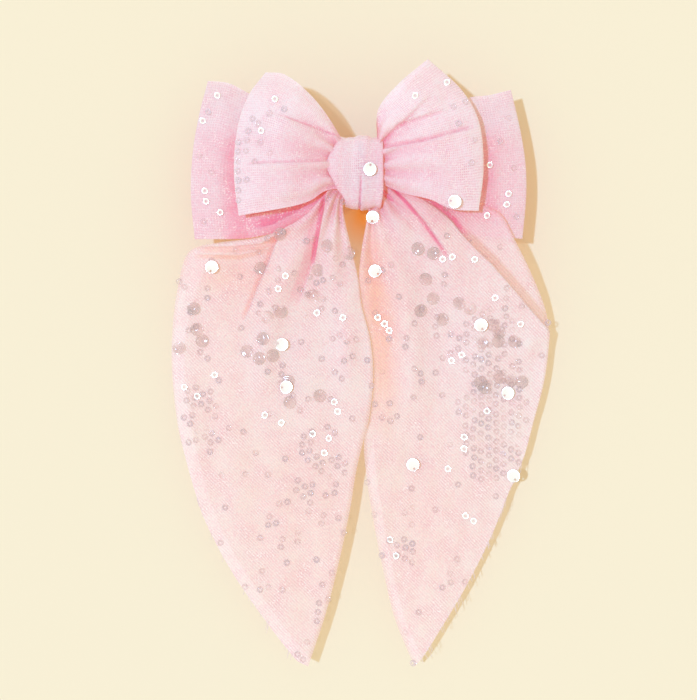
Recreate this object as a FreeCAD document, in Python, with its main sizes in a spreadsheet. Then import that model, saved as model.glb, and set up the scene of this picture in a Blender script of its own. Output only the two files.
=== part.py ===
import FreeCAD, Part
import math
import os

import Sketcher
from FreeCAD import Vector

# Cheer hair bow: two tiers of gathered mesh loops, a knot, two long tails, and a spring barrette.
# Frame: origin in the hair gap of the barrette, +Z up, the front of the bow faces -Y. Millimetres.

DIMENSIONS = {
    "knot_width": 22.0, "knot_height": 33.0, "knot_front": -26.1, "knot_back": -8.5, "knot_wall": 1.6,
    "waist_half": 12.4, "layer": 3.7, "layer_gap": 0.3, "waist_back": -11.5, "thread_radius": 0.35,
    "front_reach": 52.0, "front_bulge": 31.6, "front_rear": 18.6, "front_nose": 6.9, "front_curve": 100.0,
    "back_reach": 69.5, "back_bulge": 17.8, "back_rear": 9.0, "back_nose": 4.9, "back_curve": 2000.0,
    "loop_wall": 1.2,
    "left_peak": 41.5, "right_peak": 46.6, "rear_left_peak": 39.5, "rear_right_peak": 35.8,
    "loop_drop": 22.3, "rear_drop": 26.5,
    "tail_middle": -6.0, "tail_thick": 3.0, "tail_hinge": -28.6, "tail_end": -206.2, "tail_width": 79.2,
    "tail_wide": -76.0, "tip_offset": 22.0, "tail_side_curve": 190.0, "tail_shoulder": 71.4,
    "swing_gap": 0.4,
    "small_sequin": 1.5, "small_hole": 0.55, "large_sequin": 3.0, "large_hole": 0.5, "sequin_thick": 0.25,
    "base_half": 40.5, "base_width": 10.0, "base_thick": 0.8, "base_front": -7.0, "base_curve": 162.9,
    "latch_corner": 3.0, "pad_half": 22.0, "pad_width": 12.0, "pad_thick": 1.5,
    "stitch_near": 15.0, "stitch_far": 19.0, "stitch_up": 3.4,
    "arm_face": 2.4, "arm_thick": 0.6, "arm_width": 7.6, "arm_curve": 700.0, "hinge_reach": 38.0,
    "pin_radius": 0.6, "pin_clearance": 0.05, "barrel_radius": 1.4, "ear_thick": 0.8, "hinge_depth": 3.7,
    "window_half": 3.0, "prong_half": 2.4, "prong_thick": 0.6, "prong_width": 3.0, "prong_root": -0.3,
    "bar_face": -2.4, "bar_thick": 0.4, "bar_width": 3.6, "bar_curve": 900.0, "bar_reach": 27.0,
}

os.makedirs("parts", exist_ok=True)
doc = FreeCAD.newDocument("HairBow")
sheet = doc.addObject("Spreadsheet::Sheet", "Dims")
for row, (alias, size) in enumerate(DIMENSIONS.items(), start=1):
    sheet.set("A%d" % row, alias.replace("_", " "))
    sheet.set("B%d" % row, str(size))
    sheet.setAlias("B%d" % row, alias)
scratch = doc.addObject("Spreadsheet::Sheet", "Scratch")
doc.recompute()

NODES = []


def dims(expression):
    """Put the sheet's name before every dimension in an expression."""
    words = []
    for word in expression.replace("(", " ( ").replace(")", " ) ").split():
        sign = "-" if word.startswith("-") and len(word) > 1 else ""
        plain = word[len(sign):]
        words.append(sign + ("Dims." + plain if plain in DIMENSIONS else plain))
    return " ".join(words).replace("sqrt (", "sqrt(")


def value(expression):
    """The number an expression comes to."""
    scratch.set("A1", "=" + dims(expression))
    scratch.recompute()
    return float(scratch.get("A1"))


def new_body(name):
    body = doc.addObject("PartDesign::Body", name)
    body.Label = name
    NODES.append(body)
    return body


def sketch_on(body, role, name):
    """A sketch on one of the body's own origin planes."""
    sketch = body.newObject("Sketcher::SketchObject", name)
    plane = [item for item in body.Origin.OriginFeatures if item.Role == role][0]
    sketch.AttachmentSupport = [(plane, "")]
    sketch.MapMode = "FlatFace"
    return sketch


def fix_point(sketch, item, end, across, up):
    for kind, size in (("DistanceX", across), ("DistanceY", up)):
        number = sketch.addConstraint(Sketcher.Constraint(kind, -1, 1, item, end, value(size)))
        sketch.setExpression("Constraints[%d]" % number, dims(size))


def arc_between(first, second, radius, turn):
    """The shorter arc from first to second, turning left (1) or right (-1), drawn anticlockwise."""
    middle = (first + second) * 0.5
    chord = second - first
    normal = Vector(-chord.y, chord.x, 0) * (turn / chord.Length)
    centre = middle + normal * math.sqrt(max(0, radius ** 2 - (chord.Length / 2) ** 2))
    start, end = (first, second) if turn > 0 else (second, first)
    angles = [math.atan2(point.y - centre.y, point.x - centre.x) for point in (start, end)]
    if angles[1] < angles[0]:
        angles[1] += 2 * math.pi
    return Part.ArcOfCircle(Part.Circle(centre, Vector(0, 0, 1), radius), angles[0], angles[1])


def outline(sketch, corners):
    """Close an outline through corners (across, up), each with an optional arc to the next."""
    points = [Vector(value(corner[0]), value(corner[1]), 0) for corner in corners]
    ends = []
    for index, corner in enumerate(corners):
        first, second = points[index], points[(index + 1) % len(points)]
        if len(corner) == 2:
            item = sketch.addGeometry(Part.LineSegment(first, second), False)
            ends.append((item, 1, 2))
            continue
        item = sketch.addGeometry(arc_between(first, second, value(corner[2]), corner[3]), False)
        ends.append((item, 1, 2) if corner[3] > 0 else (item, 2, 1))
        if abs((second - first).Length / 2 - value(corner[2])) < 1e-6:
            sketch.addConstraint(Sketcher.Constraint("Symmetric", item, 1, item, 2, item, 3))
            continue
        number = sketch.addConstraint(Sketcher.Constraint("Radius", item, value(corner[2])))
        sketch.setExpression("Constraints[%d]" % number, dims(corner[2]))
    for index, corner in enumerate(corners):
        item, start, end = ends[index]
        after, after_start, after_end = ends[(index + 1) % len(ends)]
        sketch.addConstraint(Sketcher.Constraint("Coincident", item, end, after, after_start))
        fix_point(sketch, item, start, corner[0], corner[1])


def circle(sketch, across, up, radius):
    centre = Vector(value(across), value(up), 0)
    item = sketch.addGeometry(Part.Circle(centre, Vector(0, 0, 1), value(radius)), False)
    number = sketch.addConstraint(Sketcher.Constraint("Radius", item, value(radius)))
    sketch.setExpression("Constraints[%d]" % number, dims(radius))
    fix_point(sketch, item, 3, across, up)


def box_corners(left, right, low, high):
    return [(left, low), (right, low), (right, high), (left, high)]


def whole_field():
    """A box well outside the whole bow, seen from the front."""
    return box_corners("-1 * tail_width - 20", "tail_width + 20", "-4 * knot_height", "4 * knot_height")


def pad(body, sketch, length):
    """Raise a sketch to both sides of its plane, to this full length."""
    feature = body.newObject("PartDesign::Pad", sketch.Name + "_pad")
    feature.Profile = sketch
    feature.SideType = "Symmetric"
    feature.setExpression("Length", dims(length))
    sketch.Visibility = False
    doc.recompute()
    return feature


def pocket(body, sketch, length):
    """Cut a sketch to both sides of its plane, to this full length."""
    before = body.Shape.Volume
    feature = body.newObject("PartDesign::Pocket", sketch.Name + "_cut")
    feature.Profile = sketch
    feature.SideType = "Symmetric"
    feature.setExpression("Length", dims(length))
    sketch.Visibility = False
    doc.recompute()
    if body.Shape.Volume > before - 1e-6:
        raise RuntimeError("nothing was cut by " + sketch.Name)
    return feature


def arc_depth(front, radius, across):
    """Depth of an arc whose middle lies at front, at a distance across, as an expression."""
    return "%s + %s - sqrt( ( %s ) ^2 - ( %s ) ^2 )" % (front, radius, radius, across)


def knot_wrap():
    """The strip of mesh wrapped round the waist: a band open to the left and right."""
    body = new_body("knot_wrap")
    sketch = sketch_on(body, "YZ_Plane", "knot_section")
    for inset, corner in (("0", "5"), ("knot_wall", "3.4")):
        low_y, high_y = "knot_front + " + inset, "knot_back - " + inset
        top = "knot_height / 2 - " + inset
        outline(sketch, [
            (low_y + " + " + corner, "-1 * ( %s )" % top),
            (high_y + " - " + corner, "-1 * ( %s )" % top, corner, 1),
            (high_y, "%s - ( %s )" % (corner, top)),
            (high_y, "%s - %s" % (top, corner), corner, 1),
            (high_y + " - " + corner, top),
            (low_y + " + " + corner, top, corner, 1),
            (low_y, "%s - %s" % (top, corner)),
            (low_y, "%s - ( %s )" % (corner, top), corner, 1),
        ])
    pad(body, sketch, "knot_width")


def loop_tier(name, tier, waist_front, fan):
    """One strip folded into a left and a right loop, flat at the waist, cut to a fan outline."""
    body = new_body(name)
    waist_rear = "%s + layer" % waist_front
    bulge, rear, nose, curve = [tier + "_" + part for part in ("bulge", "rear", "nose", "curve")]
    shoulder = "%s_reach - 4" % tier
    plan = sketch_on(body, "XY_Plane", name + "_plan")
    outline(plan, [
        ("-1 * knot_width / 2", waist_front),
        ("knot_width / 2", waist_front, curve, 1),
        (shoulder, "-1 * " + bulge, nose, 1),
        (shoulder, "-1 * " + rear),
        ("knot_width / 2", waist_rear),
        ("-1 * knot_width / 2", waist_rear),
        ("-1 * ( %s )" % shoulder, "-1 * " + rear, nose, 1),
        ("-1 * ( %s )" % shoulder, "-1 * " + bulge, curve, 1),
    ])
    for side in (1, -1):
        corners = [
            ("%d * ( knot_width / 2 + 8 )" % side, "%s + layer / 2" % waist_front, curve + " - 5", side),
            ("%d * ( %s )" % (side, shoulder), "loop_wall - " + bulge, "%s - loop_wall" % nose, side),
            ("%d * ( %s )" % (side, shoulder), "-1 * ( %s + loop_wall )" % rear),
        ]
        outline(plan, corners)
    pad(body, plan, "4 * knot_height")
    trim = sketch_on(body, "XZ_Plane", name + "_fan")
    outline(trim, whole_field())
    outline(trim, fan)
    pocket(body, trim, "4 * knot_height")


def front_fan():
    half = "knot_width / 2"
    return [
        ("-1 * " + half, "-1 * waist_half + 9"), (half, "-1 * waist_half + 9"),
        ("front_reach + 4", "-0.72 * loop_drop"), ("front_reach + 4", "right_peak / 3"),
        ("front_reach * 0.55", "right_peak"), ("front_reach * 0.28", "right_peak * 0.8"),
        (half, "waist_half"),
        ("-1 * " + half, "waist_half"), ("front_reach * -0.56", "left_peak * 0.97"),
        ("front_reach * -0.79", "left_peak"), ("front_reach * -1.04", "left_peak * 0.62"),
        ("-1 * front_reach - 4", "-1 * loop_drop"),
    ]


def back_fan():
    half = "knot_width / 2"
    return [
        ("-1 * " + half, "-1 * waist_half + 9"), (half, "-1 * waist_half + 9"),
        ("back_reach + 4", "-1 * rear_drop"), ("back_reach + 4", "rear_right_peak / 2"),
        ("back_reach * 0.92", "rear_right_peak"), ("back_reach * 0.67", "rear_right_peak * 0.9"),
        (half, "waist_half"), ("-1 * " + half, "waist_half"),
        ("back_reach * -0.66", "rear_left_peak * 0.85"), ("back_reach * -0.88", "rear_left_peak"),
        ("-1 * back_reach - 4", "rear_left_peak / 2"), ("-1 * back_reach - 4", "-1 * rear_drop"),
    ]


def tail_gather():
    """The middle of the tail strip: a flat waist in the knot, and both fans above the bend."""
    body = new_body("tail_gather")
    waist = sketch_on(body, "XY_Plane", "gather_plan")
    front, rear = "tail_middle - tail_thick / 2", "tail_middle + tail_thick / 2"
    outline(waist, [
        ("-1 * tail_width", front), ("-1 * knot_width / 2 - 6", front),
        ("-1 * knot_width / 2", "waist_back - layer"), ("knot_width / 2", "waist_back - layer"),
        ("knot_width / 2 + 6", front), ("tail_width", front),
        ("tail_width", rear), ("knot_width / 2 + 6", rear),
        ("knot_width / 2", "waist_back"), ("-1 * knot_width / 2", "waist_back"),
        ("-1 * knot_width / 2 - 6", rear), ("-1 * tail_width", rear),
    ])
    pad(body, waist, "4 * knot_height")
    low = "tail_hinge + tail_thick / 2 + swing_gap"
    trim = sketch_on(body, "XZ_Plane", "gather_fan")
    outline(trim, whole_field())
    half, under = "( knot_width / 2 )", "-1 * knot_height / 2 - 1"
    outline(trim, [
        ("-4.4", low), ("-4.4", under),
        ("-0.3 - " + half, under), ("-0.3 - " + half, "-1 * waist_half"),
        (half + " + 0.3", "-1 * waist_half"), (half + " + 0.3", under),
        ("4.4", under), ("4.4", low),
        ("tail_shoulder - 8", low), (half + " + 1", "-1 * waist_half + 5.4"),
        (half, "-1 * waist_half + 8.3"), ("-1 * " + half, "-1 * waist_half + 8.3"),
        ("-1 * " + half + " - 1", "-1 * waist_half + 5.4"), ("8 - tail_shoulder", low),
    ])
    pocket(body, trim, "4 * knot_height")


def tail(name, side, inner_top, inner_wide):
    """One long pointed tail below the bend, with a rounded top that turns in place."""
    body = new_body(name)
    section = sketch_on(body, "YZ_Plane", name + "_section")
    front, rear = "tail_middle - tail_thick / 2", "tail_middle + tail_thick / 2"
    outline(section, [
        (rear, "tail_hinge", "tail_thick / 2", 1), (front, "tail_hinge"),
        ("tail_middle - tail_thick / 4", "tail_end - 10"), ("tail_middle + tail_thick / 4", "tail_end - 10"),
    ])
    pad(body, section, "4 * tail_width")
    trim = sketch_on(body, "XZ_Plane", name + "_outline")
    outline(trim, box_corners("-3 * tail_width", "3 * tail_width", "tail_end - 40", "40"))
    top = "tail_hinge + tail_thick"
    outline(trim, [
        ("%d * tail_shoulder" % side, top, "tail_side_curve / 2", -side),
        ("%d * tail_width" % side, "tail_wide", "tail_side_curve", -side),
        ("%d * tip_offset" % side, "tail_end", "3 * tail_side_curve", -side),
        (inner_wide, "tail_wide - 9"),
        (inner_top, top),
    ])
    pocket(body, trim, "2 * knot_height")


def gathering_thread():
    """Three turns of thread wound round the stacked waists, inside the knot."""
    body = new_body("gathering_thread")
    path = sketch_on(body, "YZ_Plane", "thread_path")
    front, rear = "waist_back - 3 * layer - 2 * layer_gap - 0.45", "waist_back + 0.45"
    top, corner = "waist_half + 0.5", "0.6"
    outline(path, [
        (front + " + " + corner, "-1 * ( %s )" % top),
        (rear + " - " + corner, "-1 * ( %s )" % top, corner, 1),
        (rear, "%s - ( %s )" % (corner, top)),
        (rear, "%s - %s" % (top, corner), corner, 1),
        (rear + " - " + corner, top),
        (front + " + " + corner, top, corner, 1),
        (front, "%s - %s" % (top, corner)),
        (front, "%s - ( %s )" % (corner, top), corner, 1),
    ])
    profile = sketch_on(body, "XY_Plane", "thread_section")
    circle(profile, "0", rear, "thread_radius")
    pipe = body.newObject("PartDesign::AdditivePipe", "thread_turn")
    pipe.Profile = profile
    pipe.Spine = path
    body.Tip = pipe
    doc.recompute()
    turns = body.newObject("PartDesign::LinearPattern", "thread_turns")
    turns.Originals = [pipe]
    turns.Direction = ([item for item in body.Origin.OriginFeatures if item.Role == "X_Axis"][0], [""])
    turns.setExpression("Length", dims("4 * thread_radius + 0.2"))
    turns.Occurrences = 3
    body.Tip = turns
    doc.recompute()
    first_turn = Vector(-2 * DIMENSIONS["thread_radius"] - 0.1, 0, 0)
    body.Placement = FreeCAD.Placement(first_turn, FreeCAD.Rotation())


def curved_strip(body, name, front, radius, thick, half, width):
    """A strip bent to an arc about the Z direction, its middle at front."""
    plan = sketch_on(body, "XY_Plane", name)
    inner = "( %s - %s )" % (radius, thick)
    outline(plan, [
        ("-1 * " + half, arc_depth(front, radius, half), radius, 1),
        (half, arc_depth(front, radius, half)),
        (half, arc_depth("%s + %s" % (front, thick), inner, half), inner, -1),
        ("-1 * " + half, arc_depth("%s + %s" % (front, thick), inner, half)),
    ])
    return pad(body, plan, width)


def felt_pad():
    body = new_body("felt_pad")
    curved_strip(body, "pad_plan", "base_front - pad_thick", "( base_curve + pad_thick )", "pad_thick",
                 "pad_half", "pad_width")


def barrette_base():
    """Curved steel strip with hinge ears, a catch foot, two windows for the bar and sewing holes."""
    body = new_body("barrette_base")
    ears = sketch_on(body, "XY_Plane", "ear_outline")
    reach = "hinge_reach"
    foot = arc_depth("base_front", "base_curve", "hinge_reach")
    outline(ears, [
        (reach + " - 2.4", foot + " - 0.2"), (reach + " + 2.4", foot + " + 0.8"),
        (reach + " + 1.7", "hinge_depth", "1.7", 1), (reach + " - 1.7", "hinge_depth"),
    ])
    pad(body, ears, "base_width")
    slot = sketch_on(body, "XY_Plane", "ear_slot")
    outline(slot, box_corners(reach + " - 4", reach + " + 4", foot + " - 1", "hinge_depth + 3"))
    pocket(body, slot, "base_width - 2 * ear_thick")
    bore = sketch_on(body, "XY_Plane", "ear_bore")
    circle(bore, reach, "hinge_depth", "pin_radius")
    pocket(body, bore, "2 * base_width")
    block = sketch_on(body, "XY_Plane", "catch_foot")
    outline(block, [
        ("-1 * hinge_reach - 1.8", foot + " + 1"), ("-1 * hinge_reach + 1.8", foot + " + 0.2"),
        ("-1 * hinge_reach + 1.8", "prong_root - 0.6"), ("-1 * hinge_reach - 1.8", "prong_root - 0.6"),
    ])
    curved_strip(body, "base_plan", "base_front", "base_curve", "base_thick", "base_half", "base_width")
    pad(body, block, "2 * prong_half + 2")
    corners = [edge for edge in range(1, len(body.Shape.Edges) + 1) if is_latch_corner(body, edge)]
    solid = body.Tip
    rounding = body.newObject("PartDesign::Fillet", "latch_corners")
    rounding.Base = (solid, ["Edge%d" % edge for edge in corners])
    rounding.setExpression("Radius", dims("latch_corner"))
    body.Tip = rounding
    doc.recompute()
    holes = sketch_on(body, "XZ_Plane", "base_windows")
    for side in (1, -1):
        near, far = "%d * ( bar_reach - 1.1 )" % side, "%d * ( bar_reach + 1.3 )" % side
        outline(holes, box_corners(near, far, "bar_width / -2 - 0.4", "bar_width / 2 + 0.4"))
        for across in ("stitch_near", "stitch_far"):
            for up in (1, -1):
                circle(holes, "%d * %s" % (side, across), "%d * stitch_up" % up, "thread_radius + 0.25")
    pocket(body, holes, "4 * base_width")


def is_latch_corner(body, number):
    """Short edges through the thickness at the latch end."""
    edge = body.Shape.Edges[number - 1]
    at_end = edge.CenterOfMass.x < -DIMENSIONS["base_half"] + 1
    at_side = abs(abs(edge.CenterOfMass.z) - DIMENSIONS["base_width"] / 2) < 1e-6
    level = abs(edge.Vertexes[0].Z - edge.Vertexes[-1].Z) < 1e-6
    return at_end and at_side and level and edge.Length < 1.2


def hinge_pin():
    """Headed pin through both ears."""
    body = new_body("hinge_pin")
    shaft = sketch_on(body, "XY_Plane", "pin_section")
    circle(shaft, "0", "0", "pin_radius")
    pad(body, shaft, "base_width + 1.2")
    head = sketch_on(body, "XY_Plane", "pin_heads")
    circle(head, "0", "0", "2 * pin_radius")
    pad(body, head, "base_width + 1.2")
    between = sketch_on(body, "XY_Plane", "pin_between_heads")
    circle(between, "0", "0", "4 * pin_radius")
    circle(between, "0", "0", "pin_radius")
    pocket(body, between, "base_width")
    body.Placement = FreeCAD.Placement(Vector(DIMENSIONS["hinge_reach"], DIMENSIONS["hinge_depth"], 0),
                                       FreeCAD.Rotation())


def clasp_arm():
    """The arm next to the head: rolled barrel on the pin, and a window for the catch prongs."""
    body = new_body("clasp_arm")
    half = "( hinge_reach + 2.6 )"
    curved_strip(body, "arm_plan", "arm_face", "arm_curve", "arm_thick", half, "arm_width")
    roll = sketch_on(body, "XY_Plane", "arm_barrel")
    circle(roll, "hinge_reach", "hinge_depth", "barrel_radius")
    pad(body, roll, "arm_width")
    trim = sketch_on(body, "XY_Plane", "arm_end_trim")
    outline(trim, [
        ("hinge_reach", "hinge_depth - 4"), ("hinge_reach + 6", "hinge_depth - 4"),
        ("hinge_reach + 6", "hinge_depth + 4"), ("hinge_reach", "hinge_depth + 4"),
        ("hinge_reach", "hinge_depth + barrel_radius", "barrel_radius", -1),
        ("hinge_reach", "hinge_depth - barrel_radius"),
    ])
    pocket(body, trim, "2 * arm_width")
    bore = sketch_on(body, "XY_Plane", "arm_bore")
    circle(bore, "hinge_reach", "hinge_depth", "pin_radius + pin_clearance")
    pocket(body, bore, "2 * arm_width")
    window = sketch_on(body, "XZ_Plane", "arm_window")
    near, far = "-1 * hinge_reach + 1.9", "-1 * hinge_reach - 1.9"
    outline(window, box_corners(far, near, "-1 * window_half", "window_half"))
    pocket(body, window, "4 * arm_width")


def catch_prong(name, side):
    """A sprung prong whose barb hooks over one edge of the arm's window."""
    body = new_body(name)
    section = sketch_on(body, "YZ_Plane", name + "_section")
    near, far = "prong_half - prong_thick / 2", "prong_half + prong_thick / 2"
    near, far = "%d * ( %s )" % (side, near), "%d * ( %s )" % (side, far)
    hook = "arm_face + 1.03 + arm_thick + 0.41"
    outline(section, [
        ("prong_root", near), (hook + " + 1.3", near), (hook + " + 1.3", far),
        (hook + " + 0.4", "%d * ( window_half + 0.5 )" % side), (hook, "%d * ( window_half + 0.5 )" % side),
        (hook, far), ("prong_root", far, "prong_thick / 2", side),
    ])
    pad(body, section, "prong_width")
    body.Placement = FreeCAD.Placement(Vector(-DIMENSIONS["hinge_reach"], 0, 0), FreeCAD.Rotation())


def tension_bar():
    """Thin sprung strip bowed towards the hair, its ends hooked through the base's windows."""
    body = new_body("tension_bar")
    plan = sketch_on(body, "XY_Plane", "bar_plan")
    crown = "bar_face - bar_curve + sqrt( bar_curve ^2 - bar_reach ^2 )"
    under = "bar_face - bar_curve + sqrt( ( bar_curve - bar_thick ) ^2 - ( bar_reach - bar_thick ) ^2 )"
    foot = arc_depth("base_front", "base_curve", "bar_reach") + " - 0.5"
    outline(plan, [
        ("bar_reach", crown, "bar_curve", 1), ("-1 * bar_reach", crown),
        ("-1 * bar_reach", foot), ("-1 * bar_reach - 0.9", foot),
        ("-1 * bar_reach - 0.9", foot + " - bar_thick"), ("bar_thick - bar_reach", foot + " - bar_thick"),
        ("bar_thick - bar_reach", under, "bar_curve - bar_thick", -1), ("bar_reach - bar_thick", under),
        ("bar_reach - bar_thick", foot + " - bar_thick"), ("bar_reach + 0.9", foot + " - bar_thick"),
        ("bar_reach + 0.9", foot), ("bar_reach", foot),
    ])
    pad(body, plan, "bar_width")


def add_group(name, solids):
    """Several separate solids that are one kind of piece."""
    group = doc.addObject("Part::Feature", name)
    group.Shape = Part.makeCompound(solids)
    group.Label = name
    NODES.append(group)


def base_stitches():
    """Four thread stitches holding the base to the pad, each down through two sewing holes."""
    radius = DIMENSIONS["thread_radius"]
    curve, front = DIMENSIONS["base_curve"], DIMENSIONS["base_front"]
    near, far = DIMENSIONS["stitch_near"], DIMENSIONS["stitch_far"]
    rise = front + curve - math.sqrt((curve - DIMENSIONS["base_thick"]) ** 2 - far ** 2) + radius + 0.1
    stitches = []
    for side in (1, -1):
        for up in (DIMENSIONS["stitch_up"], -DIMENSIONS["stitch_up"]):
            shape = Part.makeCylinder(radius, far - near, Vector(near * side, rise, up), Vector(side, 0, 0))
            for across in (near, far):
                leg = front + curve - math.sqrt(curve ** 2 - across ** 2) + 0.15
                foot = Vector(across * side, leg, up)
                post = Part.makeCylinder(radius, rise - leg, foot, Vector(0, 1, 0))
                bend = Part.makeSphere(radius, Vector(across * side, rise, up))
                shape = shape.fuse(post).fuse(bend)
            stitches.append(shape.removeSplitter())
    add_group("base_stitches", stitches)


def sequin(radius, hole, offset, centre, normal):
    """A thin disc with a hole, lying on a surface."""
    disc = Part.makeCylinder(radius, DIMENSIONS["sequin_thick"], centre, normal)
    across = normal.cross(Vector(0, 0, 1))
    middle = centre + across * offset
    return disc.cut(Part.makeCylinder(hole, DIMENSIONS["sequin_thick"], middle, normal))


def small_sequin(centre, normal):
    return sequin(DIMENSIONS["small_sequin"], DIMENSIONS["small_hole"], 0, centre, normal)


def large_sequin(centre, normal):
    return sequin(DIMENSIONS["large_sequin"], DIMENSIONS["large_hole"], 1.9, centre, normal)


def tail_spots(side, count, seed, margin):
    """Spots spread evenly over one tail's front, well inside its outline."""
    spots = []
    index = seed
    while len(spots) < count:
        index += 1
        up = (index * 0.7548777) % 1
        across = (index * 0.5698403) % 1
        depth = DIMENSIONS["tail_hinge"] - 8 - up * 150
        taper = (DIMENSIONS["tail_end"] - depth) / (DIMENSIONS["tail_end"] - DIMENSIONS["tail_wide"])
        taper = min(1.0, taper)
        outer = DIMENSIONS["tip_offset"] + (DIMENSIONS["tail_shoulder"] - DIMENSIONS["tip_offset"]) * taper
        inner = DIMENSIONS["tip_offset"] - (DIMENSIONS["tip_offset"] - 8) * taper
        spot = Vector(side * (inner + margin + (outer - inner - 2 * margin) * across), 0, depth)
        if all((spot - other).Length > 2 * margin for other in spots):
            spots.append(spot)
    return spots


def tail_front(up):
    """Depth of the sloping front face of a tail."""
    run = DIMENSIONS["tail_hinge"] - (DIMENSIONS["tail_end"] - 10)
    share = (DIMENSIONS["tail_hinge"] - up) / run
    return DIMENSIONS["tail_middle"] - DIMENSIONS["tail_thick"] * (0.5 - 0.25 * share)


def tail_sequins(name, side):
    run = DIMENSIONS["tail_hinge"] - (DIMENSIONS["tail_end"] - 10)
    normal = Vector(0, -run, -DIMENSIONS["tail_thick"] / 4)
    normal.normalize()
    large = tail_spots(side, 12, 3, 4.0)
    small = tail_spots(side, 44, 40, 2.2)
    small = [spot for spot in small if all((spot - other).Length > 5.2 for other in large)]
    for kind, spots, make in (("small", small, small_sequin), ("large", large, large_sequin)):
        centres = [Vector(spot.x, tail_front(spot.z), spot.z) for spot in spots]
        add_group("%s_%s_sequins" % (name, kind), [make(centre, normal) for centre in centres])


def loop_spots(tier, front_x, count, low, high):
    """Centres and outward normals on the curved front wall of both loops of a tier."""
    waist = DIMENSIONS["waist_back"] - DIMENSIONS["layer"] * (3 if tier == "front" else 2)
    waist -= DIMENSIONS["layer_gap"] * (2 if tier == "front" else 1)
    start = Vector(DIMENSIONS["knot_width"] / 2, waist, 0)
    end = Vector(DIMENSIONS[tier + "_reach"] - 4, -DIMENSIONS[tier + "_bulge"], 0)
    wall = arc_between(start, end, DIMENSIONS[tier + "_curve"], 1)
    centre = wall.Center
    spots = []
    for side in (1, -1):
        for index in range(count):
            across = front_x + (index * 0.618034 % 1) * (end.x - 2 - front_x)
            up = low + (high - low) * ((index + 0.5) / count)
            deep = centre.y - math.sqrt(DIMENSIONS[tier + "_curve"] ** 2 - (across - centre.x) ** 2)
            normal = Vector(side * (across - centre.x), deep - centre.y, 0)
            normal.normalize()
            spots.append((Vector(side * across, deep, up), normal))
    return spots


def loop_sequins():
    front_small = loop_spots("front", 22, 9, -7, 22)
    front_large = loop_spots("front", 40, 1, -12.5, -12.5)
    back_small = loop_spots("back", 56, 8, -14, 24)
    add_group("front_loop_small_sequins", [small_sequin(*spot) for spot in front_small])
    add_group("front_loop_large_sequins", [large_sequin(*spot) for spot in front_large])
    add_group("back_loop_small_sequins", [small_sequin(*spot) for spot in back_small])


def knot_sequins():
    front = DIMENSIONS["knot_front"]
    outward = Vector(0, -1, 0)
    add_group("knot_sequins", [large_sequin(Vector(3.8, front, 1.7), outward),
                               large_sequin(Vector(6.5, front, -7.5), outward)])


def check(item):
    if [word for word in item.State if word in ("Invalid", "Error")]:
        raise RuntimeError(item.Label + " is " + " ".join(item.State))


def export_all():
    doc.recompute()
    for item in doc.Objects:
        check(item)
    for node in NODES:
        if node.Shape.isNull() or not node.Shape.isValid() or node.Shape.Volume <= 0:
            raise RuntimeError("bad shape: " + node.Label)
        node.Shape.exportStep("parts/%s.step" % node.Label)
        print(node.Label, round(node.Shape.Volume, 2), node.Shape.BoundBox)


knot_wrap()
loop_tier("front_loops", "front", "waist_back - 3 * layer - 2 * layer_gap", front_fan())
loop_tier("back_loops", "back", "waist_back - 2 * layer - layer_gap", back_fan())
tail_gather()
tail("left_tail", -1, "-4.4", "5.3")
tail("right_tail", 1, "4.4", "5.8")
gathering_thread()
felt_pad()
barrette_base()
base_stitches()
hinge_pin()
clasp_arm()
catch_prong("catch_prong_upper", 1)
catch_prong("catch_prong_lower", -1)
tension_bar()
knot_sequins()
loop_sequins()
tail_sequins("left_tail", -1)
tail_sequins("right_tail", 1)
export_all()
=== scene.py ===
import math
import random

import bpy
import numpy as np
from mathutils import Matrix, Vector


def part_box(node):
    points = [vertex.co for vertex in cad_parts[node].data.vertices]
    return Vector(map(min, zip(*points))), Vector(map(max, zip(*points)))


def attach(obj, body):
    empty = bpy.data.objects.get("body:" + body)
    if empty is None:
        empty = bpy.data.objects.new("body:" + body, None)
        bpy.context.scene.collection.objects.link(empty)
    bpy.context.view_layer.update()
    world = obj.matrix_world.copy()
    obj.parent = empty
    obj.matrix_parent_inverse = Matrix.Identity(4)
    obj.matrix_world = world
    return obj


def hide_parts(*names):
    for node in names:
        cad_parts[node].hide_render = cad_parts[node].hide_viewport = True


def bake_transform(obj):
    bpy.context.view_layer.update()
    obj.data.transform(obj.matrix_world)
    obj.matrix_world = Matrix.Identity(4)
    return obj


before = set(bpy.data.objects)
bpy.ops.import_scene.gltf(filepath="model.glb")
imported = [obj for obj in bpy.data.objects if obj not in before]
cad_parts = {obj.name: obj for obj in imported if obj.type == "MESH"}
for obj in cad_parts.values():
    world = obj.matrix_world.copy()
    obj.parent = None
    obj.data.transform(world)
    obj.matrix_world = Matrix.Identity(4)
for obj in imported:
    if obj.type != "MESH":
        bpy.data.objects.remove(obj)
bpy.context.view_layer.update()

# A cheer hair bow of sheer pink sequined mesh on a sprung barrette.
# Shapes are worked out in millimetres, as seen from the front: x right, z up and y away from the viewer.

MM = 0.001
RANDOM = random.Random(11)
KNOT_LOW, KNOT_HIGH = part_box("knot_wrap")
# The depth the tails hang back to below the knot: the middle of the left tail part's depth.
TAIL_Y = (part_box("left_tail")[0].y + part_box("left_tail")[1].y) / 2 / MM


# ---------------------------------------------------------------- curves and patches

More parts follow.
